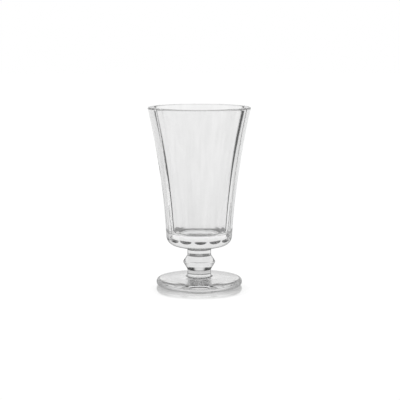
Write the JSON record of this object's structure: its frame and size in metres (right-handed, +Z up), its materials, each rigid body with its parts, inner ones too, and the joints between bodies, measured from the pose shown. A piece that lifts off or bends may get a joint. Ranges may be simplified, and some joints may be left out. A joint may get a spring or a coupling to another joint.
{
  "type": "wine goblet",
  "caption": "Clear pressed-glass goblet: a tall flared bowl with thick walls and shallow panels, on a short stem with collars and a knop, and a round foot.",
  "frame": {"origin": "middle of the foot's underside, at the level of the table", "axes": "+Z up along the axis of the stem, -Y, the front, through the middle of a panel of the bowl"},
  "size_m": [0.0798, 0.0798, 0.14],
  "materials": {
    "clear_glass": "clear colourless glass, fire polished all over"
  },
  "bodies": {
    "root": {"bowl": "clear_glass", "upper_collar": "clear_glass", "knop": "clear_glass", "lower_collar": "clear_glass", "foot": "clear_glass"}
  },
  "joints": []
}
